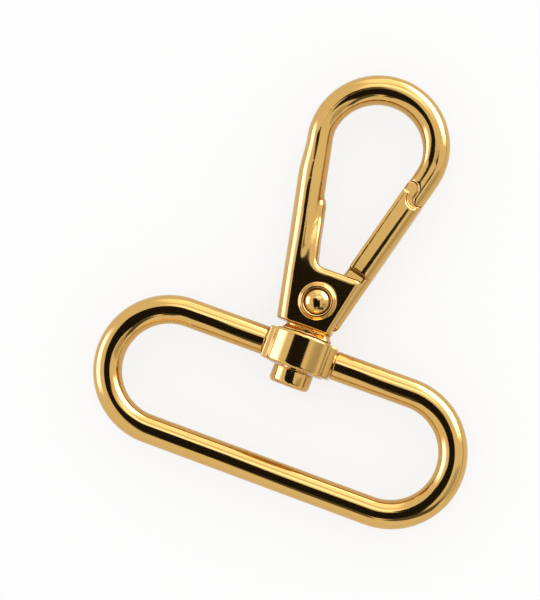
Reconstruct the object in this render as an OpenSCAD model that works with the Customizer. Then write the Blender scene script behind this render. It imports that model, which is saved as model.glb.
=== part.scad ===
// Swivel snap hook for a strap: a cast hook with a sprung gate, which turns on a stud in a strap ring.
// Millimetres. The origin is the centre of the strap slot. +Y runs along the swivel axis from the
// slot to the hook, and +Z is the normal of the front, the side with the rivet's domed head.

/* [Strap ring] */
// Width of the strap slot
slot_w = 38.6; // [28:0.2:50]
// Height of the strap slot
slot_h = 11; // [10:0.5:15]
// Diameter of the ring's round bar
ring_bar_d = 3.4; // [3:0.1:4]
// Radius of the swivel barrel's round front and back
barrel_r = 4.3; // [4:0.1:5]
// Height of the barrel along the swivel axis
barrel_h = 4.1; // [3.8:0.1:5]
// Width of the barrel's round front between its two crisp edges
barrel_face_w = 6; // [5.4:0.1:6.6]
// Overall width of the barrel with its two shoulders
barrel_w = 8; // [7.4:0.1:9]
// Rounding of the barrel's top and bottom rims
barrel_edge = 0.45; // [0.2:0.05:0.6]
// Length of the neck where each bar grows out of its shoulder
neck_l = 0.85; // [0.5:0.05:1.5]

/* [Swivel stud] */
// Diameter of the stud's shank in the barrel
shank_d = 3.2; // [2.8:0.1:3.6]
// Diameter of the stud's button head
button_d = 4.7; // [4.4:0.1:5.6]
// Height of the button head
button_h = 2.1; // [1.6:0.1:2.6]
// Rounding of the button's lower rim
button_edge = 0.7; // [0.3:0.05:0.9]
// Diameter of the tenon that is riveted into the head's floor
tenon_d = 2.4; // [2:0.1:2.6]

/* [Hook head] */
// Thickness of the head from front to back
head_t = 4.4; // [4.2:0.1:5.2]
// Height of the head
head_h = 7.2; // [7:0.1:8.5]
// Width of the head at its top, from the swivel axis to its gate side
head_top_w = 4.2; // [4:0.1:4.6]
// Width of the head at its bottom, from the swivel axis to its gate side
head_bottom_w = 2.65; // [2.5:0.05:3]
// Rounding of the head's edges
head_edge = 0.65; // [0.3:0.05:0.8]
// Height of the round collar between head and barrel
collar_h = 0.85; // [0.4:0.05:1]
// Diameter of that collar
collar_d = 5.2; // [4.2:0.1:5.6]

/* [Hook eye] */
// Clear width of the eye
eye_w = 10.75; // [9.5:0.25:13]
// Height of the eye's round centre above the gate's pivot
eye_rise = 19.75; // [18.5:0.25:23]
// Offset of the eye's round centre from the swivel axis
eye_offset = 0.28; // [0:0.02:0.5]
// Bar diameter at the eye's sides
side_d = 3.05; // [2.8:0.05:3.3]
// Bar diameter at the crown, where the load hangs
crown_d = 3.55; // [3.3:0.05:4]
// Bar diameter down the spine
spine_d = 3.45; // [3.2:0.05:4]
// Lean of the spine from the swivel axis, in degrees
spine_lean = 11.7; // [10.5:0.1:12.5]
// Lean of the gate from the swivel axis, in degrees
gate_lean = 14.6; // [14:0.1:15.2]
// Height of the rib on the spine's inner side
rib_h = 0.4; // [0.3:0.05:0.8]
// Thickness of that rib from front to back
rib_t = 2.2; // [1.6:0.1:2.8]
// Length of the rib above the head
rib_l = 7.8; // [6:0.2:10]
// Fillet radius where the rib meets the head's top
throat_r = 0.9; // [0.6:0.1:1.6]

/* [Gate] */
// Thickness of the gate's arm from front to back
arm_t = 3.7; // [3.4:0.1:4]
// Thickness of the gate's tongue in the head's slot
tongue_t = 2; // [1.8:0.1:2.2]
// Thickness of the nose lug
lug_t = 2.6; // [2.2:0.1:2.8]
// Lean of the arm's flat faces towards the nose, in degrees
arm_taper = 1.6; // [0:0.2:2.5]
// Rounding of the arm's outer edges
arm_outer_r = 1.15; // [0.8:0.05:1.3]
// Rounding of the arm's inner edges
arm_inner_r = 0.4; // [0.2:0.05:0.6]
// Height of the gate's pivot above the bottom of the head
pivot_rise = 3.2; // [3.1:0.05:3.9]
// Radius of the tongue's eye round the rivet
eyelet_r = 2.1; // [1.9:0.05:2.2]
// Distance from the pivot to the arm's lower shoulder
shoulder_u = 5.5; // [5.3:0.05:6]
// Radius of the heel at the tongue's lower end
heel_r = 0.7; // [0.5:0.05:0.8]
// Distance of the heel's centre below the pivot
heel_u = 1.17; // [0.9:0.05:1.3]
// Radius of the hooked tip of the nose
tip_r = 0.68; // [0.6:0.02:0.72]
// Distance that the gate's lug stands past the tip's centre
lug_rise = 0.57; // [0.4:0.05:0.8]
// Length from the eye's centre down to the centre of the nose's tip
nose_l = 2.05; // [1.8:0.05:2.6]

/* [Rivet and spring] */
// Diameter of the gate's rivet
rivet_d = 1.8; // [1.6:0.1:2]
// Diameter of the rivet's domed head
dome_d = 2.9; // [2.6:0.1:3]
// Height of the dome above the rim that surrounds it
dome_h = 0.4; // [0.1:0.05:0.5]
// Diameter of the cast boss round the rivet's head
boss_d = 4.3; // [4:0.1:4.6]
// Height of that boss
boss_h = 0.6; // [0.4:0.05:0.8]
// Width of the groove between dome and boss
groove_w = 0.15; // [0.1:0.05:0.25]
// Diameter of the spring wire
wire_d = 0.28; // [0.22:0.02:0.3]
// Length of the spring's two legs
leg_l = 2.6; // [2.2:0.1:2.8]

/* [Clearances] */
// Radial running clearance of stud and rivet
running_gap = 0.05; // [0.03:0.01:0.08]
// End play of the swivel at each side of the barrel
end_play = 0.1; // [0.06:0.02:0.2]
// Gap between tongue and each cheek of the head
cheek_gap = 0.1; // [0.06:0.02:0.15]
// Gap between the nose and the closed gate
nose_gap = 0.14; // [0.1:0.02:0.2]
// Overlap of pressed and riveted pieces
press = 0.01; // [0.005:0.005:0.02]

/* [Hidden] */
$fn = 64;
wire_sides = 10;
bar_sides = 32;
corner_steps = 5;
roll_steps = 5;
far = 30;

// Heights along the swivel axis, from the slot up
bar_y = (slot_h + ring_bar_d) / 2;
barrel_bottom = bar_y - barrel_h / 2;
barrel_top = bar_y + barrel_h / 2;
collar_y = barrel_top + end_play;
head_y = collar_y + collar_h;
head_top = head_y + head_h;
pivot_y = head_y + pivot_rise;
eye_y = pivot_y + eye_rise;

// The eye's outline is a true circle outside, and thickens inwards at the crown
eye_outer_r = eye_w / 2 + side_d;
function swell(angle) = max(0, sin(angle));
function bar_r(angle) = (side_d + (crown_d - side_d) * swell(angle)) / 2;
function outward(angle) = [cos(angle), sin(angle)];
eye_centre = [eye_offset, eye_y];
function crown_at(angle) = eye_centre + (eye_outer_r - bar_r(angle)) * outward(angle);

// The spine leaves the eye along its tangent, and grows outwards to its full diameter
spine_angle = 180 + spine_lean;
spine_down = [sin(spine_lean), -cos(spine_lean)];
spine_start = crown_at(spine_angle);
spine_l = (spine_start.y - head_y) / cos(spine_lean);
spine_grow = 4.5;
spine_head = spine_l - head_h - 1.5;
function ease(t) = let (c = max(0, min(1, t))) c * c * (3 - 2 * c);
function blend(a, b, t) = a + (b - a) * ease(t);
function spine_w(s) = blend(side_d, spine_d, s / spine_grow) / 2;
function spine_depth(s) = blend(spine_w(s), head_t / 2, (s - spine_head) / 3);
function rim(s) = let (x = max(0, s - spine_l + head_edge)) head_edge - sqrt(max(0, pow(head_edge, 2) - x * x));
function spine_at(s) = spine_start + s * spine_down + (spine_w(s) - side_d / 2) * outward(spine_angle);
// Distance of the spine's inner line from the swivel axis, measured along X at height y
spine_inner = spine_start - side_d / 2 * outward(spine_angle);
function spine_inner_x(y) = spine_inner.x + (spine_inner.y - y) * tan(spine_lean);
function spine_centre_x(y) = spine_inner_x(y) - spine_d / 2 / cos(spine_lean);

// The gate's own axes have their origin on the rivet: u runs up the arm, v outwards across it
gate_angle = -gate_lean;
gate_up = [sin(gate_lean), cos(gate_lean)];
gate_out = outward(gate_angle);
nose_start = crown_at(gate_angle);
pivot = [0, pivot_y];
arm_v = (nose_start - pivot) * gate_out;
nose_u = (nose_start - pivot) * gate_up;
inner_v = arm_v - side_d / 2;
outer_v = arm_v + side_d / 2;
tip_u = nose_u - nose_l - tip_r;
tip_v = outer_v - tip_r;
lug_outer_v = tip_v - tip_r - nose_gap;
tongue_neck = 1;
lug_swell = 0.06;
lug_r = (lug_outer_v - inner_v) / 2 + lug_swell;
lug_v = lug_outer_v - lug_r;
lug_u = tip_u + lug_rise;
step_r = 2.05 * tip_r;
step_shift = 0.3;
step_v = tip_v - step_shift;
heel_v = outer_v - heel_r;
slot_t = tongue_t + 2 * cheek_gap;
slot_gap = 0.2;
slot_r = eyelet_r + slot_gap;
nose_t = arm_t - 2 * (tip_u - shoulder_u) * tan(arm_taper);

// The torsion spring's coil lies on the rivet, in front of the tongue's thinned eye
coil_gap = 0.15;
turn_gap = 0.01;
coil_r = rivet_d / 2 + coil_gap + wire_d / 2;
coil_pitch = wire_d + turn_gap;
coil_turns = 2;
coil_z = cheek_gap / 2 + wire_d / 2;
pocket_gap = 0.05;
leg_room = 0.5;
pocket_v = coil_r + wire_d / 2 + pocket_gap;
pocket_u = leg_l + leg_room;
leg_lean = 7;

// Riveted ends of stud and rivet, and places on the ring
tenon_gap = 0.05;
flare_h = 0.3;
flare_w = 0.3;
tail_inset = 0.15;
tail_h = 0.3;
tenon_top = pivot_y - slot_r - tenon_gap;
flare_d = tenon_d + 2 * flare_w;
tail_d = dome_d - 2 * tail_inset;
button_y = barrel_bottom - end_play - button_h;
end_x = (slot_w + ring_bar_d) / 2 - bar_y;
shoulder_drop = 0.2;
shoulder_lip = 0.4;
shoulder_step = 0.12;
shoulder_t = ring_bar_d + 2 * shoulder_lip;
shoulder_root = sqrt(pow(barrel_r, 2) - pow(barrel_face_w / 2, 2)) - shoulder_step;
neck_flare = 0.3;
bar_seat = 0.3;

module place_gate() translate([pivot.x, pivot.y, 0]) rotate(90 - gate_lean) mirror([0, 1, 0]) children();
module plate(t) translate([0, 0, -t / 2]) linear_extrude(t) children();
module along_y(y) translate([0, y, 0]) rotate([-90, 0, 0]) children();

// A tube through stations of [centre, outward angle, half width, half depth, squareness, z]
function ring_of(st, sides) = [
    for (i = [0 : sides - 1])
        let (
            a = 360 * i / sides,
            p = 2 / st[4],
            across = sign(cos(a)) * pow(abs(cos(a)), p) * st[2],
            at = st[0] + across * outward(st[1])
        )
        [at.x, at.y, st[5] + sign(sin(a)) * pow(abs(sin(a)), p) * st[3]]
];

// Closed skin over a stack of rings, which all have the same number of points
module skin(rings) {
    n = len(rings[0]);
    last = len(rings) - 1;
    walls = [
        for (k = [0 : last - 1], i = [0 : n - 1])
            let (j = (i + 1) % n)
            each [
                [k * n + i, (k + 1) * n + i, k * n + j],
                [k * n + j, (k + 1) * n + i, (k + 1) * n + j]
            ]
    ];
    start = [for (i = [0 : n - 1]) i];
    end = [for (i = [n - 1 : -1 : 0]) last * n + i];
    polyhedron([for (ring = rings) each ring], concat([start, end], walls));
}

module tube(stations, sides) skin([for (st = stations) ring_of(st, sides)]);

function spine_station(s) = [
    spine_at(s), spine_angle, spine_w(s) - rim(s), spine_depth(s) - rim(s), 2, 0
];
rim_steps = 4;
spine_steps = 13;
crown_steps = 52;
nose_steps = 4;
spine_stations = [
    for (k = [0 : rim_steps - 1]) spine_station(spine_l - head_edge * (1 - cos(90 * k / rim_steps))),
    for (k = [0 : spine_steps - 1]) spine_station((spine_l - head_edge) * (1 - k / spine_steps))
];
crown_stations = [
    for (k = [0 : crown_steps - 1])
        let (angle = spine_angle + (gate_angle - spine_angle) * k / crown_steps, r = bar_r(angle))
        [crown_at(angle), angle, r, r, 2, 0]
];
nose_stations = [
    for (k = [0 : nose_steps])
        let (at = nose_start - (nose_l + 3 * tip_r) * k / nose_steps * gate_up)
        [at, gate_angle, side_d / 2, blend(side_d, nose_t, k / 2) / 2, 2 + 0.25 * k, 0]
];

// Region of the closed gate's upper end in its own axes, grown by g
module gate_end(g) {
    difference() {
        union() {
            translate([-far, -far]) square([far + tip_u, 2 * far]);
            translate([-far, lug_outer_v + g - far]) square([far + lug_u, far]);
            translate([lug_u, lug_v]) circle(lug_r + g);
        }
        translate([tip_u, tip_v]) circle(tip_r + nose_gap - g);
        translate([tip_u, lug_outer_v + g]) square(far);
    }
}

// The arm's two flat faces lean inwards towards the nose
module arm_lean() {
    for (side = [0, 1]) mirror([0, 0, side])
        translate([shoulder_u, -far / 2, arm_t / 2]) rotate([0, arm_taper, 0]) cube(far);
}

// Solid bar of the gate's section, with large outer and small inner roundings
module arm_bar(from_u, to_u) {
    z = arm_t / 2;
    translate([from_u, 0, 0]) rotate([90, 0, 90]) linear_extrude(to_u - from_u) {
        for (side = [-1, 1]) {
            translate([outer_v - arm_outer_r, side * (z - arm_outer_r)]) circle(arm_outer_r);
            translate([inner_v + arm_inner_r, side * (z - arm_inner_r)]) circle(arm_inner_r);
        }
        translate([inner_v + arm_inner_r, -z]) square([side_d - arm_inner_r - arm_outer_r, 2 * z]);
        translate([inner_v, arm_inner_r - z]) square([side_d / 2, 2 * (z - arm_inner_r)]);
        translate([arm_v, arm_outer_r - z]) square([side_d / 2, 2 * (z - arm_outer_r)]);
    }
}

module tongue_outline() {
    circle(eyelet_r);
    translate([-heel_u, heel_v]) circle(heel_r);
    polygon([
        [0, -eyelet_r], [shoulder_u - tongue_neck, inner_v], [shoulder_u + tongue_neck, inner_v],
        [shoulder_u + tongue_neck, outer_v],
        [-heel_u, outer_v], [-heel_u - heel_r, heel_v], [-eyelet_r, 0]
    ]);
}

// The slot between the cheeks, in the hook's own plane
heel_at = pivot - heel_u * gate_up + heel_v * gate_out;
slot_floor_x = heel_at.x - heel_r;
heel_gap = 0.15;
slot_floor_y = heel_at.y - heel_r - heel_gap;
wall_inset = 0.75;
slot_wall_x = spine_inner_x(head_top) + rib_h + wall_inset;
module slot_outline() {
    translate(pivot) circle(slot_r);
    polygon([
        [-slot_r, pivot_y], [-slot_r, pivot_y + 1], [slot_wall_x, head_top + 0.2],
        [slot_wall_x, head_top + 1], [far, head_top + 1], [far, slot_floor_y],
        [slot_floor_x, slot_floor_y], [0, pivot_y - slot_r]
    ]);
}

// Outline that passes r outside the corners, at height z, with an arc round each corner
function rolled_ring(corners, r, z) = [
    for (i = [0 : len(corners) - 1])
        let (
            n = len(corners),
            before = corners[i] - corners[(i + n - 1) % n],
            after = corners[(i + 1) % n] - corners[i],
            from = atan2(before.y, before.x) - 90,
            turn = (atan2(after.y, after.x) - 90 - from + 360) % 360
        )
        for (k = [0 : corner_steps])
            let (at = corners[i] + r * outward(from + turn * k / corner_steps))
            [at.x, at.y, z]
];

// Flat block of the head, between the spine and the gate's side, with all its edges rolled
module head_block() {
    r = head_edge;
    corners = [
        [head_bottom_w - r, head_y + r], [head_top_w - r, head_top - r],
        [spine_centre_x(head_top) + 0.2, head_top - r], [spine_centre_x(head_y + r) + 0.2, head_y + r]
    ];
    roll = [for (k = [0 : roll_steps]) 75 * k / roll_steps];
    z0 = head_t / 2 - r;
    front = [for (a = roll) rolled_ring(corners, r * cos(a), z0 + r * sin(a) / sin(75))];
    back = [for (k = [roll_steps : -1 : 0]) rolled_ring(corners, r * cos(roll[k]), -z0 - r * sin(roll[k]) / sin(75))];
    skin(concat(back, front));
}

// Rib on the spine's inner side, with a round upper end and a fillet down to the head
module rib() {
    rib_top = head_top + rib_l;
    x0 = spine_inner_x(head_top) + rib_h;
    plate(rib_t) {
        polygon([
            [spine_inner_x(rib_top) - spine_d / 3, rib_top], [spine_inner_x(head_top - 1) - 1, head_top - 1],
            [spine_inner_x(head_top - 1) + rib_h, head_top - 1], [spine_inner_x(rib_top) + rib_h, rib_top]
        ]);
        translate([spine_inner_x(rib_top), rib_top]) circle(rib_h);
    }
    plate(head_t - 2 * head_edge) difference() {
        translate([x0 - throat_r, head_top - head_edge]) square([2.2 * throat_r, head_edge + throat_r]);
        translate([x0 + throat_r, head_top + throat_r]) circle(throat_r);
        translate([x0 + throat_r, head_top]) square(far);
    }
}

// Boss round the rivet's head, with a rolled lip and a recess for the dome
module boss() {
    lip = boss_h / 2;
    translate([0, pivot_y, head_t / 2]) rotate_extrude() {
        square([boss_d / 2, boss_h - lip]);
        square([boss_d / 2 - lip, boss_h]);
        translate([boss_d / 2 - lip, boss_h - lip]) circle(lip);
    }
}

// Rivet head: a short cylinder under a spherical cap
module cap(r, side_h, h) {
    dome_r = (r * r + pow(h - side_h, 2)) / (2 * (h - side_h));
    rotate_extrude() intersection() {
        square([r, h]);
        translate([0, h - dome_r]) circle(dome_r, $fn = 128);
    }
}

module hook_body() color("goldenrod") {
    difference() {
        union() {
            tube(concat(spine_stations, crown_stations, nose_stations), bar_sides);
            head_block();
            rib();
            boss();
            along_y(collar_y) cylinder(d = collar_d, h = collar_h + head_edge);
        }
        plate(slot_t) slot_outline();
        place_gate() plate(far) intersection() {
            gate_end(nose_gap);
            translate([tip_u - 3 * tip_r, inner_v - 1]) square([nose_u - tip_u + 3 * tip_r, side_d + 2]);
        }
        translate([0, pivot_y, -far / 2]) cylinder(d = rivet_d - 2 * press, h = far);
        translate([0, pivot_y, head_t / 2]) cylinder(d = dome_d + 2 * groove_w, h = far);
        along_y(collar_y - 1) cylinder(d = tenon_d - 2 * press, h = tenon_top - collar_y + 1);
        along_y(tenon_top - flare_h) cylinder(d1 = tenon_d - 2 * press, d2 = flare_d - 2 * press, h = flare_h);
    }
}

// The lug's two faces lie lower than the arm's, up to a round step
module lug_step() {
    for (side = [0, 1]) mirror([0, 0, side]) translate([0, 0, lug_t / 2]) linear_extrude(far) {
        translate([tip_u, step_v]) circle(step_r);
        translate([tip_u, -far]) square([far, 2 * far]);
    }
}

module gate() color("gold") place_gate() {
    difference() {
        union() {
            difference() {
                intersection() {
                    arm_bar(shoulder_u, nose_u);
                    plate(far) gate_end(0);
                }
                lug_step();
                arm_lean();
            }
            plate(tongue_t) tongue_outline();
        }
        cylinder(d = rivet_d + 2 * running_gap, h = far, center = true);
        translate([-far, -far, 0]) cube([far + pocket_u, far + pocket_v, far]);
    }
}

module gate_rivet() color("khaki") translate([0, pivot_y, 0]) {
    cylinder(d = rivet_d, h = head_t, center = true);
    translate([0, 0, head_t / 2]) cap(dome_d / 2, boss_h / 2, boss_h + dome_h);
    mirror([0, 0, 1]) translate([0, 0, head_t / 2]) cap(tail_d / 2, tail_h / 3, tail_h);
}

// Torsion spring: one leg on the slot's wall, the coil round the rivet, the other leg on the gate
coil_from = 180 + leg_lean;
coil_to = coil_from + 360 * coil_turns + 180 - leg_lean - gate_lean;
coil_steps = 60;
function coil_at(angle, along) = [
    pivot + coil_r * outward(angle) + along * [-sin(angle), cos(angle)],
    angle + 180, wire_d / 2, wire_d / 2, 2, coil_z + coil_pitch * (angle - coil_from) / 360
];
module gate_spring() color("silver") {
    coil = [for (k = [0 : coil_steps]) coil_at(coil_from + (coil_to - coil_from) * k / coil_steps, 0)];
    tube(concat([coil_at(coil_from, -leg_l)], coil, [coil_at(coil_to, leg_l)]), wire_sides);
}

module swivel_stud() color("khaki") {
    along_y(button_y) rotate_extrude() {
        translate([0, button_edge]) square([button_d / 2, button_h - button_edge]);
        square([button_d / 2 - button_edge, button_h]);
        translate([button_d / 2 - button_edge, button_edge]) circle(button_edge);
    }
    along_y(button_y + button_h) cylinder(d = shank_d, h = collar_y - button_y - button_h);
    along_y(collar_y) cylinder(d = tenon_d, h = tenon_top - collar_y);
    along_y(tenon_top - flare_h) cylinder(d1 = tenon_d, d2 = flare_d, h = flare_h);
}

// Round bar along X from x0 to x1 at height y
module bar(x0, x1, y) translate([x0, y, 0]) rotate([0, 90, 0]) cylinder(d = ring_bar_d, h = x1 - x0);

// Barrel: a drum with rolled rims, cut to two crisp edges, between two lower shoulders
module barrel() {
    along_y(barrel_bottom) difference() {
        union() {
            intersection() {
                rotate_extrude($fn = 128) {
                    square([barrel_r - barrel_edge, barrel_h]);
                    translate([0, barrel_edge]) square([barrel_r, barrel_h - 2 * barrel_edge]);
                    for (y = [barrel_edge, barrel_h - barrel_edge])
                        translate([barrel_r - barrel_edge, y]) circle(barrel_edge);
                }
                translate([-barrel_face_w / 2, -far, -far]) cube([barrel_face_w, 2 * far, 2 * far]);
            }
            translate([0, 0, shoulder_drop]) linear_extrude(barrel_h - 2 * shoulder_drop) polygon([
                for (side = [1, -1]) each [
                    [side * barrel_w / 2, -side * shoulder_t / 2], [side * barrel_w / 2, side * shoulder_t / 2],
                    [side * barrel_face_w / 2, side * shoulder_root], [-side * barrel_face_w / 2, side * shoulder_root]
                ]
            ]);
        }
        translate([0, 0, -1]) cylinder(d = shank_d + 2 * running_gap, h = barrel_h + 2);
    }
}

module swivel_ring() color("gold") {
    barrel();
    for (side = [0, 1]) mirror([side, 0, 0]) {
        bar(barrel_w / 2 - bar_seat, end_x, bar_y);
        translate([barrel_w / 2, bar_y, 0]) rotate([0, 90, 0])
            cylinder(d1 = ring_bar_d + 2 * neck_flare, d2 = ring_bar_d, h = neck_l);
        translate([end_x, 0, 0]) rotate(-90) rotate_extrude(angle = 180) translate([bar_y, 0]) circle(d = ring_bar_d);
    }
    bar(-end_x, end_x, -bar_y);
}

hook_body();
gate();
gate_rivet();
gate_spring();
swivel_stud();
swivel_ring();
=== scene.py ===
# %% [markdown]
# A gilded snap hook lies flat on a pale table, and the camera looks down on it.
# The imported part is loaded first. It is the frame that every piece here is fitted to, in metres.

# %% Load the part
import bpy
import bmesh
import math
from mathutils import Matrix, Vector


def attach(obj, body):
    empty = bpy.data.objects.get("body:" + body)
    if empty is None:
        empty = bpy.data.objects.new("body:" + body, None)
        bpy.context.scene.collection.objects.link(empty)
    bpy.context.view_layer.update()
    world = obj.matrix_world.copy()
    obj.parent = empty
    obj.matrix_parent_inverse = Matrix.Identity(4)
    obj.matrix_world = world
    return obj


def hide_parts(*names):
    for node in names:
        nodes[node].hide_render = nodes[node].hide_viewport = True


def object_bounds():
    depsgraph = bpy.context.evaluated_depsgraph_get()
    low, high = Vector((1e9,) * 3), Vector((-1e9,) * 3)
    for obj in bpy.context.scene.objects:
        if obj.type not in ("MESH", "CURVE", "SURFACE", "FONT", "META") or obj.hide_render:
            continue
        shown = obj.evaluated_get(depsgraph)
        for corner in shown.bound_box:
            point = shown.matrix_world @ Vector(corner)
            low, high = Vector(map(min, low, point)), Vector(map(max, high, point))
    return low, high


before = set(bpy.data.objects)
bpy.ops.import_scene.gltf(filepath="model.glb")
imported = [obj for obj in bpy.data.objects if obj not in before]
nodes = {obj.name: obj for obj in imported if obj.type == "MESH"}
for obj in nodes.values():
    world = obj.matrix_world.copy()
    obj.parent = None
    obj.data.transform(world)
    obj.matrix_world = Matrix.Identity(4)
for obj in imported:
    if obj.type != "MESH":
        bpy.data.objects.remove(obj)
cad_low, cad_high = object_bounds()
MM = 0.001
print("part loaded, size in mm:", [round((b - a) / MM, 1) for a, b in zip(cad_low, cad_high)])

# %% [markdown]
# The photograph was taken from above, a few degrees off the normal of the hook's front, with the hook
# turned on the table. The three turns and the distance come from a fit of outline points. A long lens
# keeps the ring's two ends nearly the same size. The rows of the turn are the camera's own axes.

# %% Camera
ROLL, TILT_X, TILT_Y = math.radians(-20.18), math.radians(-3.29), math.radians(-5.87)
OFFSET = Vector((-1.02, 12.92, 223.3)) * MM
LENS, SENSOR = 115.1, 36
turn = Matrix.Rotation(ROLL, 3, "Z") @ Matrix.Rotation(TILT_X, 3, "X") @ Matrix.Rotation(TILT_Y, 3, "Y")
camera_data = bpy.data.cameras.new("photo_camera")
camera_data.lens = LENS
camera_data.sensor_width = SENSOR
camera_data.clip_start = 0.01
camera = bpy.data.objects.new("photo_camera", camera_data)
camera.matrix_world = Matrix.Translation(turn.transposed() @ OFFSET) @ turn.transposed().to_4x4()
bpy.context.scene.collection.objects.link(camera)
bpy.context.scene.camera = camera
bpy.context.scene.view_settings.view_transform = "Standard"
print("camera at", [round(x / MM) for x in camera.location])

# %% [markdown]
# Materials are node trees. This small class wraps a socket, so that a mask is written as a sum or a
# product, and every expression adds its Math nodes. Any other node comes from its one method, which
# takes the node's type, its settings, and the values or links of its sockets.

# %% Shader maths
class Socket:
    """A value in a node tree that can be added, multiplied and compared."""

    def __init__(self, tree, socket):
        self.tree = tree
        self.socket = socket

    def node(self, kind, settings=None, **inputs):
        """Add a node, with its sockets named by their labels, or as i0, i1 and so on by their numbers."""
        new = self.tree.nodes.new(kind)
        for name, value in (settings or {}).items():
            setattr(new, name, value)
        for name, value in inputs.items():
            numbered = name[0] == "i" and name[1:].isdigit()
            target = new.inputs[int(name[1:]) if numbered else name]
            if isinstance(value, Socket):
                self.tree.links.new(value.socket, target)
            else:
                target.default_value = value
        return new

    def math(self, operation, *values):
        inputs = {f"i{k}": v for k, v in enumerate(values)}
        return Socket(self.tree, self.node("ShaderNodeMath", {"operation": operation}, **inputs).outputs[0])

    def __add__(self, other):
        return self.math("ADD", self, other)

    def __radd__(self, other):
        return self.math("ADD", other, self)

    def __sub__(self, other):
        return self.math("SUBTRACT", self, other)

    def __rsub__(self, other):
        return self.math("SUBTRACT", other, self)

    def __mul__(self, other):
        return self.math("MULTIPLY", self, other)

    def __rmul__(self, other):
        return self.math("MULTIPLY", other, self)

    def __truediv__(self, other):
        return self.math("DIVIDE", self, other)

    def __rtruediv__(self, other):
        return self.math("DIVIDE", other, self)


def new_material(name):
    """A node material, its Principled shader and a socket to start expressions from."""
    material = bpy.data.materials.new(name)
    material.use_nodes = True
    shader = material.node_tree.nodes["Principled BSDF"]
    start = Socket(material.node_tree, None)
    return material, shader, start


def object_place(start):
    """Object coordinates, in which a pattern stays on its piece as the piece moves."""
    return Socket(start.tree, start.node("ShaderNodeTexCoord").outputs["Object"])


def noise(start, place, scale, detail):
    """A cloudy value between 0 and 1, with about this many clouds to the metre."""
    made = start.node("ShaderNodeTexNoise", None, Vector=place, Scale=scale, Detail=detail)
    return Socket(start.tree, made.outputs["Fac"])


def mixed_glow(start, under, colour, strength, share):
    """Mix a glow over a shader by a share, and let the surface show the mix."""
    glow = start.node("ShaderNodeEmission", None, Color=colour, Strength=strength)
    mix = start.node("ShaderNodeMixShader", None, Fac=share)
    start.tree.links.new(under.outputs[0], mix.inputs[1])
    start.tree.links.new(glow.outputs[0], mix.inputs[2])
    start.tree.links.new(mix.outputs[0], start.tree.nodes["Material Output"].inputs["Surface"])


print("tools for materials ready")

# %% [markdown]
# The hook is a zinc casting, polished and plated with gold. Polished plating mirrors the studio, so
# most of its look is in the reflections. What is left to the material is a warm base colour that
# drifts a little, fine polishing lines, and a finish that is duller in patches. Each piece has its own
# copy with the pattern shifted, because the pieces were plated one by one.

# %% Gold plating
GOLD = (0.70, 0.435, 0.135, 1)
GOLD_DEEP = (0.62, 0.36, 0.10, 1)
PATCHES, WAVES, FINE_LINES = 160, 420, 2600
MIRROR_ROUGHNESS, BUMP_STRENGTH, BUMP_HEIGHT = 0.045, 0.12, 0.00006


def gold_plating(name, seed):
    material, shader, start = new_material(name)
    shift = (seed, 0.4 * seed, 0)
    moved = start.node("ShaderNodeMapping", None, Vector=object_place(start), Location=shift)
    moved = Socket(start.tree, moved.outputs[0])
    cloud = noise(start, moved, PATCHES, 3)
    fine = noise(start, moved, FINE_LINES, 4)
    wave = noise(start, moved, WAVES, 1)
    colour = start.node("ShaderNodeMix", {"data_type": "RGBA"}, i0=cloud * 0.5, i6=GOLD, i7=GOLD_DEEP)
    start.tree.links.new(colour.outputs[2], shader.inputs["Base Color"])
    shader.inputs["Metallic"].default_value = 1
    roughness = MIRROR_ROUGHNESS + 0.05 * cloud + 0.03 * fine
    start.tree.links.new(roughness.socket, shader.inputs["Roughness"])
    relief = 0.7 * wave + 0.02 * fine
    bump = start.node("ShaderNodeBump", None, Strength=BUMP_STRENGTH, Distance=BUMP_HEIGHT, Height=relief)
    start.tree.links.new(bump.outputs[0], shader.inputs["Normal"])
    return material


gold = {
    "hook": gold_plating("gold_plating", 0.0),
    "gate": gold_plating("gold_plating_gate", 0.13),
    "rivet": gold_plating("gold_plating_rivet", 0.29),
    "stud": gold_plating("gold_plating_stud", 0.41),
    "ring": gold_plating("gold_plating_ring", 0.57),
}
print("gold materials:", sorted(gold))

# %% [markdown]
# The spring is drawn steel wire, unplated and a little duller, with a grain that shifts its tone.

# %% Spring steel
STEEL_DARK = (0.5, 0.5, 0.52, 1)
STEEL_PALE = (0.62, 0.61, 0.6, 1)
DRAWN_GRAIN = 3000


def spring_steel():
    material, shader, start = new_material("spring_steel")
    drawn = noise(start, object_place(start), DRAWN_GRAIN, 2)
    colour = start.node("ShaderNodeMix", {"data_type": "RGBA"}, i0=drawn, i6=STEEL_DARK, i7=STEEL_PALE)
    start.tree.links.new(colour.outputs[2], shader.inputs["Base Color"])
    shader.inputs["Metallic"].default_value = 1
    start.tree.links.new((0.2 + 0.15 * drawn).socket, shader.inputs["Roughness"])
    return material


steel = spring_steel()
print("spring steel made")

# %% [markdown]
# The pieces are modelled in millimetres, the unit in which such a hook is drawn, and shrunk to metres at
# the end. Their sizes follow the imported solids. These are the ones that several pieces share. The gate
# has its own axes: U runs up the gate from the rivet, and V runs outwards across it.

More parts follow.
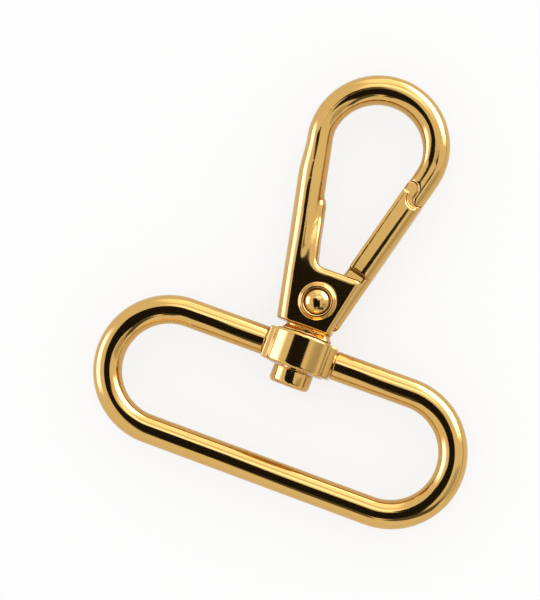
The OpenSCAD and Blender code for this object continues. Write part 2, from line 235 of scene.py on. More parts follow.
# %% Shared sizes
BARREL_LOW, BARREL_TOP, COLLAR_LOW = 5.15, 9.25, 9.35
HEAD_LOW, HEAD_TOP, HEAD_DEPTH = 10.2, 17.4, 2.2
TENON_R, TENON_TOP = 1.19, 11.05
PIVOT = Vector((0, 13.4, 0))
EYE = Vector((0.28, 33.15, 0))
EYE_RADIUS, SIDE, CROWN, SPINE = 8.425, 1.525, 1.775, 1.725
SPINE_LEAN, GATE_LEAN = math.radians(11.7), math.radians(14.6)
GATE_UP = Vector((math.sin(GATE_LEAN), math.cos(GATE_LEAN), 0))
GATE_OUT = Vector((math.cos(GATE_LEAN), -math.sin(GATE_LEAN), 0))
INNER_V, OUTER_V = 0.667, 3.717
TIP_U, TIP_V = 16.45, 3.037
LUG_U, LUG_V, LUG_R = 17.02, 1.382, 0.835

# The head's blocks start this low, and are cut off at HEAD_LOW once they are fused
FOOT = HEAD_LOW - 0.9


def outward(angle):
    return Vector((math.cos(angle), math.sin(angle), 0))


def ease(t):
    t = min(1, max(0, t))
    return t * t * (3 - 2 * t)


def blend(a, b, t):
    return a + (b - a) * ease(t)


print("eye's top at", round(EYE.y + EYE_RADIUS, 2), "mm")

# %% [markdown]
# A bar that bends and swells is a loft: one circle is extruded from station to station, and each new
# loop is shaped to its station. A station holds a centre, the way out across the bar, half its width,
# half its depth, how square its section is, and how far it falls off outwards. The loft serves the
# hook's spine, eye and nose, the rib, and the bar of the ring.

# %% Loft
FALL_START = 0.3


def shape_loop(loop, station):
    """Give a loop the section of its station: 2 is an oval, and more is squarer."""
    centre, out, width, depth, square, fall = station
    for vert, (c, s) in loop.items():
        across = math.copysign(abs(c) ** (2 / square), c)
        height = math.copysign(abs(s) ** (2 / square), s) * (1 - fall * max(0, across - FALL_START))
        vert.co = centre + across * width * out + Vector((0, 0, height * depth))


def loft(bm, stations, sides=72):
    """Extrude a circle through the stations, and close both ends."""
    verts = bmesh.ops.create_circle(bm, cap_ends=False, segments=sides, radius=1)["verts"]
    loop = {vert: (vert.co.x, vert.co.y) for vert in verts}
    edges = list(dict.fromkeys(edge for vert in verts for edge in vert.link_edges))
    ends = [edges]
    shape_loop(loop, stations[0])
    for station in stations[1:]:
        grown = bmesh.ops.extrude_edge_only(bm, edges=edges)["geom"]
        edges = [item for item in grown if isinstance(item, bmesh.types.BMEdge)]
        next_loop = {}
        for vert in [item for item in grown if isinstance(item, bmesh.types.BMVert)]:
            neighbours = [edge.other_vert(vert) for edge in vert.link_edges]
            next_loop[vert] = next(loop[other] for other in neighbours if other in loop)
        loop = next_loop
        shape_loop(loop, station)
    ends.append(edges)
    for end in ends:
        bmesh.ops.holes_fill(bm, edges=end, sides=0)


print("loft ready")

# %% [markdown]
# Castings are built as a foundry pattern is: plain blocks and bars are set into each other, and holes
# are cut with tools. A voxel remesh fuses the blocks into one skin, and Booleans do the cutting. A few
# rounds of smoothing then melt the edges as tumbling and polishing do.

# %% Joining and cutting
def as_object(bm, name):
    """Turn a bmesh into a linked object, with its normals outwards."""
    bmesh.ops.recalc_face_normals(bm, faces=bm.faces)
    mesh = bpy.data.meshes.new(name)
    bm.to_mesh(mesh)
    bm.free()
    made = bpy.data.objects.new(name, mesh)
    bpy.context.scene.collection.objects.link(made)
    return made


def tool(maker, *values, **named):
    """An object from one of the shape functions, to cut a casting with or to join to it."""
    bm = bmesh.new()
    maker(bm, *values, **named)
    return as_object(bm, "tool")


def apply_modifiers(made):
    """Bake the modifiers of an object into its mesh."""
    bpy.context.view_layer.update()
    baked = bpy.data.meshes.new_from_object(made.evaluated_get(bpy.context.evaluated_depsgraph_get()))
    made.modifiers.clear()
    made.data = baked


def remove(made):
    bpy.data.objects.remove(made, do_unlink=True)


def add_copy(bm, made):
    """Move an object's mesh into a bmesh."""
    bm.from_mesh(made.data)
    remove(made)


def combine(made, other, operation):
    """Cut this object with another one, or join the other to it, and use the other up."""
    step = made.modifiers.new("combine", "BOOLEAN")
    step.operation = operation
    step.object = other
    step.solver = "EXACT"
    apply_modifiers(made)
    remove(other)


def fuse(made, voxel):
    """Give overlapping blocks one skin, whose faces are about as long as a voxel."""
    step = made.modifiers.new("fuse", "REMESH")
    step.mode = "VOXEL"
    step.voxel_size = voxel
    step.use_smooth_shade = True
    apply_modifiers(made)


def polish(mesh, rounds, soft_spot=None, reach=0, more=0):
    """Smooth a fused skin, with more rounds within reach of a soft spot, then shrink it to metres."""
    bm = bmesh.new()
    bm.from_mesh(mesh)
    spot = [vert for vert in bm.verts if soft_spot and (vert.co.xy - soft_spot).length < reach]
    for verts, count in ((bm.verts, rounds), (spot, more)):
        for _ in range(count):
            bmesh.ops.smooth_vert(
                bm, verts=verts, factor=0.5, use_axis_x=True, use_axis_y=True, use_axis_z=True)
    bmesh.ops.scale(bm, vec=(MM, MM, MM), verts=bm.verts)
    bm.to_mesh(mesh)
    bm.free()


print("tools for castings ready")

# %% [markdown]
# A plate is one face from an outline, extruded, and a block is a plate between two corners. A pin is a
# cylinder, turned to the axis it needs. Most plates then have some of their edges rolled by a bevel, and
# those that taper are first cut across into strips.

# %% Plates and pins
ALONG_Y = Matrix.Rotation(-math.pi / 2, 4, "X")
X_AXIS, Y_AXIS = Vector((1, 0, 0)), Vector((0, 1, 0))
CLOSE = 0.01


def arc(centre, radius, start, end, steps=24):
    """Points on an arc between two angles in degrees."""
    angles = [math.radians(start + (end - start) * k / steps) for k in range(steps + 1)]
    return [(centre[0] + radius * math.cos(a), centre[1] + radius * math.sin(a)) for a in angles]


def plate(bm, outline, low, high):
    face = bm.faces.new([bm.verts.new((x, y, low)) for x, y in outline])
    grown = bmesh.ops.extrude_face_region(bm, geom=[face])["geom"]
    raised = [item for item in grown if isinstance(item, bmesh.types.BMVert)]
    bmesh.ops.translate(bm, verts=raised, vec=(0, 0, high - low))


def block(bm, low, high):
    outline = [(low[0], low[1]), (high[0], low[1]), (high[0], high[1]), (low[0], high[1])]
    plate(bm, outline, low[2], high[2])


def pin(bm, radius, low, high, at=(0, 0, 0), along_y=False, segments=96):
    turned = ALONG_Y if along_y else Matrix()
    place = Matrix.Translation(at) @ turned @ Matrix.Translation((0, 0, (low + high) / 2))
    bmesh.ops.create_cone(
        bm, cap_ends=True, segments=segments, radius1=radius, radius2=radius, depth=high - low,
        matrix=place)


def is_flat(edge):
    """True for an edge that lies in a plate's face, and not for one through its thickness."""
    return abs(edge.verts[0].co.z - edge.verts[1].co.z) < CLOSE


def roll_edges(bm, edges, radius, segments=8):
    """Round some edges off."""
    bmesh.ops.recalc_face_normals(bm, faces=bm.faces)
    bmesh.ops.bevel(
        bm, geom=edges, offset=radius, offset_type="OFFSET", segments=segments, profile=0.5,
        affect="EDGES", clamp_overlap=True, material=-1)


def cut_across(bm, axis, places):
    """Cut a mesh into strips at some places along an axis."""
    for place in places:
        everything = list(bm.verts) + list(bm.edges) + list(bm.faces)
        bmesh.ops.bisect_plane(bm, geom=everything, dist=1e-5, plane_co=place * axis, plane_no=axis)


print("plates and pins ready")

# %% [markdown]
# The hook's bar starts at the head as the spine, which is deeper from front to back there and slims
# upwards. It turns round the eye, is widest at the crown where the load hangs, and ends in the nose.
# Near the joint with the gate its section grows squarer, so the nose has a flatter front, which falls
# off a little outwards. The spine's lower end is rounded, as its last stations shrink.

# %% Stations of the bar
SPINE_ROLL, SPINE_TOP_DEPTH = 0.65, 1.82
WIDER_OVER, DEEPER_OVER = 4.5, 7
FULL_DEPTH, LEVEL_FROM, SQUARE_FROM = 8.1, 4.9, 12
SPINE_SLOPE, SPINE_SQUARE = 0.016, 0.25
NOSE_LENGTH, NOSE_SQUARE, NOSE_FALL = 4.09, 0.9, 0.16
CROWN_BLEND, NOSE_BLEND_FROM = 0.9, 0.75
ROLL_STEPS, SPINE_STEPS, CROWN_STEPS, NOSE_STEPS = 8, 44, 96, 12


def bar_radius(angle):
    return SIDE + (CROWN - SIDE) * max(0, math.sin(angle))


def crown_at(angle):
    return EYE + (EYE_RADIUS - bar_radius(angle)) * outward(angle)


SPINE_ANGLE = math.pi + SPINE_LEAN
SPINE_DOWN = Vector((math.sin(SPINE_LEAN), -math.cos(SPINE_LEAN), 0))
SPINE_TOP = crown_at(SPINE_ANGLE)
SPINE_LENGTH = (SPINE_TOP.y - FOOT) / math.cos(SPINE_LEAN)


def spine_station(s):
    """The spine's section at a distance s down from the eye."""
    width = blend(SIDE, SPINE, s / WIDER_OVER)
    flat_depth = HEAD_DEPTH - SPINE_SLOPE * max(0, SPINE_LENGTH - FULL_DEPTH - s)
    depth = blend(SPINE_TOP_DEPTH, flat_depth, s / DEEPER_OVER)
    out = outward(SPINE_ANGLE)
    centre = SPINE_TOP + s * SPINE_DOWN + (width - SIDE) * out
    near = max(0, s - SPINE_LENGTH + SPINE_ROLL)
    rim = SPINE_ROLL - math.sqrt(max(0, SPINE_ROLL ** 2 - near ** 2))
    level = ease((s - SPINE_LENGTH + LEVEL_FROM) / 4)
    out = out + level * out.y / math.cos(SPINE_LEAN) * SPINE_DOWN
    square = 2 + SPINE_SQUARE * ease((s - SPINE_LENGTH + SQUARE_FROM) / 6)
    return centre, out, width - rim, depth - rim, square, 0


def crown_station(angle):
    """The crown's section at an angle round the eye."""
    depth = blend(SPINE_TOP_DEPTH, bar_radius(angle), (SPINE_ANGLE - angle) / CROWN_BLEND)
    near_nose = ease((NOSE_BLEND_FROM - angle) / CROWN_BLEND)
    square = 2 + NOSE_SQUARE * near_nose
    return crown_at(angle), outward(angle), bar_radius(angle), depth, square, NOSE_FALL * near_nose


def nose_station(k):
    """The nose's section at one of the steps along its straight length."""
    centre = crown_at(-GATE_LEAN) - NOSE_LENGTH * k / NOSE_STEPS * GATE_UP
    return centre, outward(-GATE_LEAN), SIDE, SIDE + 0.02 * ease(k / 6), 2 + NOSE_SQUARE, NOSE_FALL


rolled = [SPINE_ROLL * (1 - math.cos(math.pi / 2 * k / ROLL_STEPS)) for k in range(ROLL_STEPS)]
spine_stations = [spine_station(SPINE_LENGTH - up) for up in rolled]
for k in range(SPINE_STEPS):
    spine_stations.append(spine_station((SPINE_LENGTH - SPINE_ROLL) * (1 - k / SPINE_STEPS)))
crown_stations = []
for k in range(CROWN_STEPS):
    crown_stations.append(crown_station(SPINE_ANGLE + (-GATE_LEAN - SPINE_ANGLE) * k / CROWN_STEPS))
nose_stations = [nose_station(k) for k in range(NOSE_STEPS + 1)]
print(len(spine_stations + crown_stations + nose_stations), "stations")

# %% [markdown]
# The head is a thick plate beside the spine. Its outline has the throat's round corner, and runs on up
# the spine's inner side, where its faces slope down and it ends under the rib. A bevel rolls its edges
# on both faces and over the two corners of the gate's side, but not inside the spine. The plate starts
# too low, and the cut that comes after the fusing gives the head a crisp lower edge.

# %% Head plate and rib
HEAD_ROLL, THROAT, RIB, RIB_HALF = 0.66, 0.95, 0.4, 0.75
PLATE_SHOULDER, PLATE_TOP = 23.4, 24.6
SLOPE_FROM, SLOPE_CUTS, SLOPE_STEP = 17, 21, 0.4
INSIDE_SPINE = 0.8


def spine_inner_x(y):
    inner = SPINE_TOP - SIDE * outward(SPINE_ANGLE)
    return inner.x + (inner.y - y) * math.tan(SPINE_LEAN)


def spine_centre_x(y):
    return spine_inner_x(y) - SPINE / math.cos(SPINE_LEAN)


gate_side = [(2.456, FOOT), (4.2, HEAD_TOP)]
throat_x = spine_inner_x(HEAD_TOP) + RIB + THROAT * (1 / math.cos(SPINE_LEAN) - math.tan(SPINE_LEAN))
throat = arc((throat_x, HEAD_TOP + THROAT), THROAT, 270, 180 + math.degrees(SPINE_LEAN), 10)
head_outline = gate_side + throat
head_outline += [(spine_inner_x(PLATE_SHOULDER) + 0.24, PLATE_SHOULDER)]
head_outline += [(spine_centre_x(PLATE_TOP) + 0.3, PLATE_TOP), (spine_centre_x(FOOT) + 0.2, FOOT)]


def head_plate(bm):
    plate(bm, head_outline, -HEAD_DEPTH, HEAD_DEPTH)
    corners = [Vector(point) for point in gate_side]
    edges = []
    for edge in bm.edges:
        at_corner = any((vert.co.xy - corner).length < CLOSE for vert in edge.verts for corner in corners)
        inwards = max(vert.co.x - spine_centre_x(vert.co.y) for vert in edge.verts)
        if (is_flat(edge) or at_corner) and inwards >= INSIDE_SPINE:
            edges.append(edge)
    roll_edges(bm, edges, HEAD_ROLL)
    cut_across(bm, Y_AXIS, [SLOPE_FROM + SLOPE_STEP * k for k in range(SLOPE_CUTS)])
    for vert in bm.verts:
        above = max(0, vert.co.y - SLOPE_FROM)
        drop = 0.1 * above ** 2 / (above + 1) + 0.025 * max(0, above - 2) ** 2
        vert.co.z *= 1 - drop / HEAD_DEPTH


def rib_station(y, width, depth):
    x = spine_inner_x(y) + RIB - RIB_HALF
    return Vector((x, y, 0)), outward(0), width, depth, 2.3, 0


rib_stations = [rib_station(HEAD_TOP - 1, RIB_HALF, 1.7), rib_station(24.4, RIB_HALF, 1.3)]
rib_stations += [rib_station(24.9, 0.66, 1.1), rib_station(25.15, 0.5, 0.8), rib_station(25.28, 0.3, 0.5)]
print("head plate outline has", len(head_outline), "corners")

# %% [markdown]
# The rivet sits in a cast boss with a rolled lip, and the head stands on a collar that flares at its
# foot. Both start as turned shapes, so each is a profile that is spun once round its axis. The collar is
# then flattened from front to back.

# %% Spun shapes
def spun(bm, profile, along_y=False, at=(0, 0, 0), steps=96):
    """Spin a profile of (radius, height) points once round, and close its two ends at the axis."""
    verts = [bm.verts.new((radius, 0, height)) for radius, height in profile]
    edges = [bm.edges.new(pair) for pair in zip(verts, verts[1:])]
    bmesh.ops.spin(
        bm, geom=verts + edges, cent=(0, 0, 0), axis=(0, 0, 1), dvec=(0, 0, 0), angle=2 * math.pi,
        space=Matrix(), steps=steps, use_merge=True, use_normal_flip=False, use_duplicate=False)
    bmesh.ops.remove_doubles(bm, verts=bm.verts, dist=0.0005)
    turned = ALONG_Y if along_y else Matrix()
    bmesh.ops.transform(bm, matrix=Matrix.Translation(at) @ turned, verts=bm.verts)


LIP, BOSS_R, BOSS_RISE = 0.25, 2.02, 0.6
POCKET_R, POCKET_FLOOR = 1.42, -0.35
boss_profile = [(0, -BOSS_RISE), (BOSS_R, -BOSS_RISE)]
boss_profile += arc((BOSS_R - LIP, BOSS_RISE - LIP), LIP, 0, 180, 12)
boss_profile += [(POCKET_R, POCKET_FLOOR), (0, POCKET_FLOOR)]
COLLAR_FLAT = 0.55
collar_profile = [(0, 0), (3.05, 0), (3.08, 0.1), (2.85, 0.32), (2.68, 0.6), (2.6, 0.9)]
collar_profile += [(2.5, 1.3), (0, 1.4)]


def collar(bm):
    spun(bm, collar_profile, along_y=True, at=(0, COLLAR_LOW, 0))
    bmesh.ops.scale(bm, vec=(1, 1, COLLAR_FLAT), verts=bm.verts)


print("profiles for boss and collar ready")

# %% [markdown]
# The nose and the gate meet in an S-shaped joint. Its line runs straight along the lug, round the lug's
# end, and round the nose's hooked tip. One outline cuts both pieces, grown by a different clearance for
# each, and the gap is kept narrow, as the plated joint shows no light.

# %% Joint line
PAST_INSIDE, PAST_OUTSIDE = -2, 6


def joint_outline(grow, low_u):
    """The gate's side of the S-shaped joint in the gate's own axes, grown by some clearance."""
    lug_side = LUG_V + LUG_R + grow
    outline = [(low_u, PAST_INSIDE), (LUG_U, PAST_INSIDE)]
    outline += arc((LUG_U, LUG_V), LUG_R + grow, -90, 90)
    outline += arc((TIP_U, TIP_V), TIP_V - lug_side, -90, -270)
    outline += [(TIP_U, PAST_OUTSIDE), (low_u, PAST_OUTSIDE)]
    return outline


def into_gate_axes(made):
    """Set what was modelled in the gate's own axes into its closed place on the rivet."""
    place = Matrix((GATE_UP, GATE_OUT, Vector((0, 0, 1)))).transposed().to_4x4()
    place.translation = PIVOT
    bm = bmesh.new()
    bm.from_mesh(made.data)
    bmesh.ops.transform(bm, matrix=place, verts=bm.verts)
    bmesh.ops.recalc_face_normals(bm, faces=bm.faces)
    bm.to_mesh(made.data)
    bm.free()
    return made


print("joint line ready")

# %% [markdown]
# Now the hook is assembled and fused. Its lower edge is cut off, the collar is joined on, and the slot,
# the holes and the joint are cut. The slot between the cheeks takes the gate's tongue. A second fusing
# evens the mesh out, and the polish goes on longer round the throat, where plate, rib and spine meet.

# %% Hook casting
BLOCK_VOXEL, HOOK_VOXEL, HOOK_POLISH = 0.09, 0.105, 5
THROAT_REACH, THROAT_POLISH = 5.2, 9
SLOT_R, SLOT_HALF, SLOT_WALL, SLOT_FLOOR, SLOT_ROOF = 2.3, 1.1, 0.75, 10.657, 18.4
RIVET_HOLE, NOSE_GAP, NOSE_CUT_FROM = 0.89, 0.09, 14.41
bm = bmesh.new()
loft(bm, spine_stations + crown_stations + nose_stations)
loft(bm, rib_stations, 48)
add_copy(bm, tool(head_plate))
add_copy(bm, tool(spun, boss_profile, at=PIVOT + Vector((0, 0, HEAD_DEPTH))))
hook = as_object(bm, "hook_casting")
fuse(hook, BLOCK_VOXEL)
combine(hook, tool(block, (-8, 5, -4), (8, HEAD_LOW, 4)), "DIFFERENCE")
combine(hook, tool(collar), "UNION")
wall_x = spine_inner_x(HEAD_TOP) + RIB + SLOT_WALL
slot = [(-SLOT_R, PIVOT.y), (-SLOT_R, 14.4), (wall_x, 17.6), (wall_x, SLOT_ROOF), (9, SLOT_ROOF)]
slot += [(9, SLOT_FLOOR), (1.925, SLOT_FLOOR), (0, PIVOT.y - SLOT_R)]
combine(hook, tool(plate, slot, -SLOT_HALF, SLOT_HALF), "DIFFERENCE")
combine(hook, tool(pin, SLOT_R, -SLOT_HALF, SLOT_HALF, at=PIVOT), "DIFFERENCE")
combine(hook, tool(pin, RIVET_HOLE, -5, 5, at=PIVOT), "DIFFERENCE")
combine(hook, tool(pin, TENON_R, 8, TENON_TOP, along_y=True), "DIFFERENCE")
combine(hook, into_gate_axes(tool(plate, joint_outline(NOSE_GAP, NOSE_CUT_FROM), -6, 6)), "DIFFERENCE")
fuse(hook, HOOK_VOXEL)
throat_spot = Vector((throat_x - 2, HEAD_TOP + 3.4))
polish(hook.data, HOOK_POLISH, soft_spot=throat_spot, reach=THROAT_REACH, more=THROAT_POLISH)
print("hook casting:", len(hook.data.polygons), "faces")

# %% [markdown]
# The gate is a casting too. Its arm is a block whose long edges are rolled, widely outside and tightly
# inside. Its faces lean together towards the nose, and fall off a little to the arm's outer side. The
# lug at its end lies lower than the arm, below a round step, whose sloping wall is cut by a cone.

# %% Gate arm and lug
SHOULDER_U, ARM_END, ARM_DEPTH, ARM_TAPER = 5.5, 19.2, 1.88, math.tan(math.radians(2.0))
OUTER_ROLL, INNER_ROLL, ARM_SEGMENTS = 1.05, 0.4, 14
FALL_FROM, ARM_FALL = OUTER_V - 1.4, 0.07
LUG_HALF, GATE_GAP = 1.22, 0.045
STEP_LOW_R, STEP_TOP_R, STEP_HEIGHT, STEP_INWARDS = 1.2, 2.0, 1.2, 0.3


def arm(bm):
    bmesh.ops.create_cube(bm, size=1)
    bmesh.ops.scale(bm, vec=(ARM_END - SHOULDER_U, OUTER_V - INNER_V, 2 * ARM_DEPTH), verts=bm.verts)
    middle = ((ARM_END + SHOULDER_U) / 2, (OUTER_V + INNER_V) / 2, 0)
    bmesh.ops.translate(bm, vec=middle, verts=bm.verts)
    for side_v, roll in ((OUTER_V, OUTER_ROLL), (INNER_V, INNER_ROLL)):
        edges = []
        for edge in bm.edges:
            a, b = edge.verts
            if abs(a.co.x - b.co.x) > 1 and abs(a.co.y - side_v) < CLOSE:
                edges.append(edge)
        roll_edges(bm, edges, roll, ARM_SEGMENTS)
    cut_across(bm, Y_AXIS, [FALL_FROM])
    for vert in bm.verts:
        vert.co.z *= 1 - (vert.co.x - SHOULDER_U) * ARM_TAPER / ARM_DEPTH
        vert.co.z *= 1 - ARM_FALL * max(0, vert.co.y - FALL_FROM)


def step_cutter(bm, side):
    """A cone on the front or back side, wider away from the lug."""
    height = side * (LUG_HALF + STEP_HEIGHT / 2)
    place = Matrix.Translation((TIP_U, TIP_V - STEP_INWARDS, height))
    low_radius, high_radius = (STEP_LOW_R, STEP_TOP_R) if side > 0 else (STEP_TOP_R, STEP_LOW_R)
    bmesh.ops.create_cone(
        bm, cap_ends=True, segments=96, radius1=low_radius, radius2=high_radius, depth=STEP_HEIGHT,
        matrix=place)


gate = tool(arm)
combine(gate, tool(plate, joint_outline(GATE_GAP, 0), -6, 6), "INTERSECT")
for side, low, high in ((1, LUG_HALF, 6), (-1, -6, -LUG_HALF)):
    combine(gate, tool(step_cutter, side), "DIFFERENCE")
    combine(gate, tool(block, (TIP_U, -6, low), (30, 6, high)), "DIFFERENCE")
print("gate arm:", len(gate.data.polygons), "faces before fusing")

# %% [markdown]
# The tongue is a thinner plate with the rivet's eye and a heel. Its outer edges are rolled, and it thins
# towards the arm. The spring's coil lies on the rivet in front of it, so its front half is cut away
# round the eye. The finished gate is set into its closed place on the rivet.

# %% Gate casting
TONGUE_HALF, EYELET_R, HEEL_R, HEEL_HALF = 1.0, 2.1, 0.7, 0.4
HEEL_U, HEEL_V = -1.17, 3.017
TONGUE_ROLL, TAPER_FROM, TAPER_CUTS, TAPER_STEP = 0.9, 3, 10, 0.3
GATE_HOLE, GATE_VOXEL, GATE_POLISH = 0.95, 0.055, 10
tongue = [(0, -EYELET_R), (4.5, INNER_V), (6.5, INNER_V), (6.5, OUTER_V), (HEEL_U, OUTER_V)]
tongue += [(HEEL_U - HEEL_R, HEEL_V), (-EYELET_R, 0)]


def tongue_plate(bm):
    plate(bm, tongue, -TONGUE_HALF, TONGUE_HALF)
    outer = [edge for edge in bm.edges if is_flat(edge) and min(vert.co.y for vert in edge.verts) > 3]
    roll_edges(bm, outer, TONGUE_ROLL)
    cut_across(bm, X_AXIS, [TAPER_FROM + TAPER_STEP * k for k in range(TAPER_CUTS)])
    for vert in bm.verts:
        along = max(0, vert.co.x - TAPER_FROM)
        vert.co.z *= 1 - 0.02 * along - 0.01 * along ** 2


bm = bmesh.new()
add_copy(bm, gate)
add_copy(bm, tool(tongue_plate))
add_copy(bm, tool(pin, EYELET_R, -TONGUE_HALF, TONGUE_HALF))
add_copy(bm, tool(pin, HEEL_R, -HEEL_HALF, HEEL_HALF, at=(HEEL_U, HEEL_V, 0)))
gate = as_object(bm, "gate_casting")
fuse(gate, GATE_VOXEL)
combine(gate, tool(pin, GATE_HOLE, -6, 6), "DIFFERENCE")
combine(gate, tool(block, (-9, -9, 0), (3.1, 1.38, 6)), "DIFFERENCE")
fuse(gate, GATE_VOXEL)
into_gate_axes(gate)
polish(gate.data, GATE_POLISH)
print("gate casting:", len(gate.data.polygons), "faces")

# %% [markdown]
# The rivet and the stud are turned on a lathe, so each is one spun profile. The rivet has a domed head
# that sits in the boss and a low tail at the back. The stud has a button with a well rounded foot, a
# shank that the barrel turns on, and a tenon that is flared inside the head.

# %% Rivet and stud
RIVET_R, DOME_R, DOME_MIDDLE = 0.9, 1.95, 1.25
dome = []
for degrees in range(48, 0, -3):
    from_top = math.radians(degrees)
    dome.append((DOME_R * math.sin(from_top), DOME_MIDDLE + DOME_R * math.cos(from_top)))
rivet_profile = [(0, -2.5), (0.7, -2.46), (1.15, -2.36), (1.28, -2.28), (1.3, -HEAD_DEPTH)]
rivet_profile += [(RIVET_R, -HEAD_DEPTH), (RIVET_R, HEAD_DEPTH), (1.47, HEAD_DEPTH)]
rivet_profile += [(1.47, 2.46), (1.465, 2.52)] + dome + [(0, DOME_MIDDLE + DOME_R)]
stud_profile = [(0, 3.03), (0.9, 3.04)]
stud_profile += arc((1.85, 3.6), 0.55, -90, 0, 10) + arc((2.3, 4.95), 0.1, 0, 90, 4)
stud_profile += [(1.6, 5.05), (1.6, COLLAR_LOW), (TENON_R, COLLAR_LOW), (TENON_R, 10.75)]
stud_profile += [(1.49, TENON_TOP), (0, TENON_TOP)]
rivet = tool(spun, rivet_profile, at=PIVOT)
stud = tool(spun, stud_profile, along_y=True)
for turned_piece in (rivet, stud):
    polish(turned_piece.data, 0)
print("rivet and stud:", len(rivet.data.polygons), len(stud.data.polygons), "faces")

# %% [markdown]
# The ring is a round bar in an oblong, which grows out of the swivel's barrel. The barrel is a drum
# with rolled rims that is cut off at two crisp edges, between lower shoulders. The bar leaves each
# shoulder with a short neck, where the two meet in a groove.

# %% Barrel
FACE_HALF, DRUM_R, RIM_ROLL = 3.38, 4.3, 0.36
SHOULDER_SET, SHOULDER_ROLL = 0.15, 0.18


def drum(bm):
    half = math.degrees(math.asin(FACE_HALF / DRUM_R))
    outline = arc((0, 0), DRUM_R, 90 + half, 90 - half, 48)
    outline += arc((0, 0), DRUM_R, half - 90, -90 - half, 48)
    plate(bm, outline, BARREL_LOW, BARREL_TOP)
    roll_edges(bm, [edge for edge in bm.edges if is_flat(edge)], RIM_ROLL)
    bmesh.ops.transform(bm, matrix=ALONG_Y, verts=bm.verts)


def shoulders(bm):
    outline = [(-4.1, -2.05), (-4.1, 2.05), (-3.4, 2.3), (3.4, 2.3)]
    outline += [(4.1, 2.05), (4.1, -2.05), (3.4, -2.3), (-3.4, -2.3)]
    plate(bm, outline, BARREL_LOW + SHOULDER_SET, BARREL_TOP - SHOULDER_SET)
    roll_edges(bm, bm.edges, SHOULDER_ROLL, 4)
    bmesh.ops.transform(bm, matrix=ALONG_Y, verts=bm.verts)


print("barrel ready")

# %% [markdown]
# The bar is one loft from shoulder to shoulder, round both ends of the oblong. It is joined to the
# barrel after the fusing, so it keeps its own even mesh and its clean reflections.

# %% Ring casting
BAR_R, BAR_Y, BEND_X, RING_VOXEL, SHANK_HOLE = 1.7, 7.2, 13.8, 0.06, 1.65
NECK = [(3.6, 1.5), (4.2, 1.5), (4.24, 1.62), (4.32, 1.68), (4.44, BAR_R)]


def bar_station(x, y, angle, radius):
    return Vector((x, y, 0)), outward(math.radians(angle)), radius, radius, 2, 0


def bend(middle_x, start, end):
    """Stations round one end of the oblong."""
    points = arc((0, 0), BAR_Y, start, end, 48)
    return [bar_station(middle_x + x, y, math.degrees(math.atan2(y, x)), BAR_R) for x, y in points]


bar_stations = [bar_station(x, BAR_Y, 90, radius) for x, radius in NECK]
bar_stations += bend(BEND_X, 90, -90) + bend(-BEND_X, -90, -270)
bar_stations += [bar_station(-x, BAR_Y, 90, radius) for x, radius in reversed(NECK)]
bm = bmesh.new()
add_copy(bm, tool(drum))
add_copy(bm, tool(shoulders))
ring = as_object(bm, "ring_casting")
fuse(ring, RING_VOXEL)
combine(ring, tool(pin, SHANK_HOLE, 0, 12, along_y=True), "DIFFERENCE")
combine(ring, tool(loft, bar_stations), "UNION")
polish(ring.data, 0)
print("ring casting:", len(ring.data.polygons), "faces")

# %% [markdown]
# Each finished piece gets its plating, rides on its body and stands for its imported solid. Faces are
# shaded smooth, and edges that turn by more than a limit stay crisp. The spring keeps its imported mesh.

# %% Dress the pieces
CRISP = math.radians(35)


def dress(made, name, body, replaced, material):
    """Shade a piece smooth between its crisp edges, and hand it to the frame."""
    made.name = name
    bm = bmesh.new()
    bm.from_mesh(made.data)
    for face in bm.faces:
        face.smooth = True
    for edge in bm.edges:
        edge.smooth = len(edge.link_faces) == 2 and edge.calc_face_angle(0) < CRISP
    bm.to_mesh(made.data)
    bm.free()
    made.data.materials.clear()
    made.data.materials.append(material)
    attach(made, body)
    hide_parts(replaced)
    print(name, "has", sum(len(face.vertices) - 2 for face in made.data.polygons), "triangles")


dress(hook, "hook_casting", "hook", "hook_body", gold["hook"])
dress(gate, "gate_casting", "gate", "gate", gold["gate"])
dress(rivet, "rivet_turned", "hook", "gate_rivet", gold["rivet"])
dress(stud, "stud_turned", "hook", "swivel_stud", gold["stud"])
dress(ring, "ring_casting", "ring", "swivel_ring", gold["ring"])
spring = nodes["gate_spring"]
spring.data.materials.clear()
spring.data.materials.append(steel)

# %% [markdown]
# The table is a plain pale floor. Seen by the camera it adds its own white, as a white sweep does, and it
# keeps the object's shadow. In the metal it adds little, so the undersides mirror a shaded table.

# %% Floor
FLOOR_SIZE, FLOOR_GLOW, GLOSSY_SHARE = 1.5, 0.75, 0.2
WHITE = (1, 1, 1, 1)
bm = bmesh.new()
bmesh.ops.create_grid(bm, x_segments=1, y_segments=1, size=FLOOR_SIZE)
bmesh.ops.translate(bm, verts=bm.verts, vec=(0, 0, cad_low[2]))
floor_mesh = bpy.data.meshes.new("floor")
bm.to_mesh(floor_mesh)
bm.free()
floor = bpy.data.objects.new("floor", floor_mesh)
bpy.context.scene.collection.objects.link(floor)
floor_material, floor_shader, start = new_material("floor_white")
floor_shader.inputs["Base Color"].default_value = (0.94, 0.94, 0.93, 1)
floor_shader.inputs["Roughness"].default_value = 0.8
floor_shader.inputs["Specular IOR Level"].default_value = 0
path = start.node("ShaderNodeLightPath")
seen = Socket(start.tree, path.outputs["Is Camera Ray"])
seen = seen + GLOSSY_SHARE * Socket(start.tree, path.outputs["Is Glossy Ray"])
mixed_glow(start, floor_shader, WHITE, 1, FLOOR_GLOW * seen)
floor_mesh.materials.append(floor_material)
print("floor at", round(cad_low[2] / MM, 2), "mm")

# %% [markdown]
# The world is a plain white room. A polished metal shows what stands round it, so the studio is made of
# cards that only reflections see. The camera's own dark body gives the black bands, soft boxes above
# and at the left give the white ones, and dimmer cards grade the rest. Each card is placed by the angle
# at which the hook mirrors it, across and up in the photograph. The dark ones stand near the hook, so
# their reflections shift from piece to piece, as those of a near thing do.

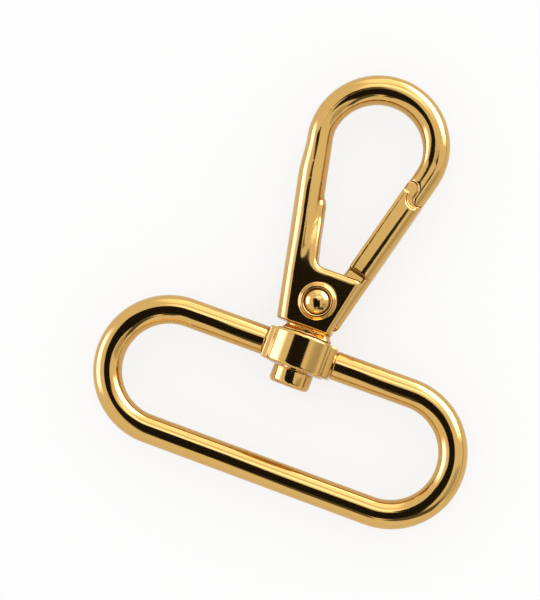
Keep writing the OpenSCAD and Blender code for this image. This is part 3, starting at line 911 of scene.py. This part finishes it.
# %% World and cards
world = bpy.data.worlds.new("white_room")
bpy.context.scene.world = world
world.use_nodes = True
world.node_tree.nodes["Background"].inputs["Color"].default_value = WHITE
world.node_tree.nodes["Background"].inputs["Strength"].default_value = 1
COOL_WHITE = (0.92, 0.95, 1.3, 1)
FAINT_ROSE = (1, 0.96, 1.1, 1)
PALE_BLUE = (0.92, 0.98, 1.9, 1)
NEAR, FAR = 0.2, 2


def card(name, across, up, half_across, half_up, strength, soft_across, soft_up, colour=WHITE, away=FAR):
    """A card round a direction given in degrees, whose glow fades over a soft share of its half size."""
    angle = math.radians(math.hypot(across, up))
    side = math.atan2(up, across) - ROLL
    aim = Vector((math.sin(angle) * math.cos(side), math.sin(angle) * math.sin(side), math.cos(angle)))
    width = away * math.tan(math.radians(half_across))
    height = away * math.tan(math.radians(half_up))
    photo_up = Vector((math.sin(ROLL), math.cos(ROLL), 0))
    x_axis = photo_up.cross(aim).normalized()
    y_axis = aim.cross(x_axis)
    bm = bmesh.new()
    bmesh.ops.create_grid(bm, x_segments=1, y_segments=1, size=1)
    bmesh.ops.scale(bm, vec=(width, height, 1), verts=bm.verts)
    mesh = bpy.data.meshes.new(name)
    bm.to_mesh(mesh)
    bm.free()
    panel = bpy.data.objects.new(name, mesh)
    panel.matrix_world = Matrix.Translation(aim * away) @ Matrix((x_axis, y_axis, aim)).transposed().to_4x4()
    bpy.context.scene.collection.objects.link(panel)
    panel.visible_camera = False
    panel.visible_shadow = False
    panel.visible_diffuse = False
    material, _, start = new_material(name)
    split = start.node("ShaderNodeSeparateXYZ", None, Vector=object_place(start))
    x, y = Socket(start.tree, split.outputs[0]), Socket(start.tree, split.outputs[1])
    rim_x = (1 - x.math("ABSOLUTE", x / width)) * (1 / soft_across)
    rim_y = (1 - x.math("ABSOLUTE", y / height)) * (1 / soft_up)
    inside = x.math("MINIMUM", x.math("MINIMUM", rim_x, rim_y), 1)
    smooth = inside * inside * (3 - 2 * inside)
    mixed_glow(start, start.node("ShaderNodeBsdfTransparent"), colour, strength, smooth)
    mesh.materials.append(material)


card("dark_body", -3, -12.8, 25, 25.5, 0.015, 0.14, 0.05, away=NEAR)
card("dark_shoulder", -13, 16.5, 15, 9, 0.015, 0.1, 0.15, away=NEAR)
card("dark_stand_right", 24, -47, 25, 12, 0.12, 0.3, 0.3, away=NEAR)
card("dark_stand_left", -15, -43, 7, 9, 0.1, 0.4, 0.3, away=NEAR)
card("dim_right", 48, -28, 22, 18, 0.6, 0.5, 0.4)
card("dim_far_right", 95, 0, 15, 44, 0.4, 0.5, 0.4)
card("soft_box_top", 50, 60, 30, 42, 6.5, 0.55, 0.55, COOL_WHITE)
card("soft_box_middle", 8, 70, 24, 24, 1.8, 0.6, 0.6)
card("soft_box_low", 11, 31, 22, 13, 2.3, 0.6, 0.75, FAINT_ROSE)
card("soft_box_left", -78, 14, 30, 26, 3.2, 0.6, 0.6, PALE_BLUE)
print("ten cards and boxes")
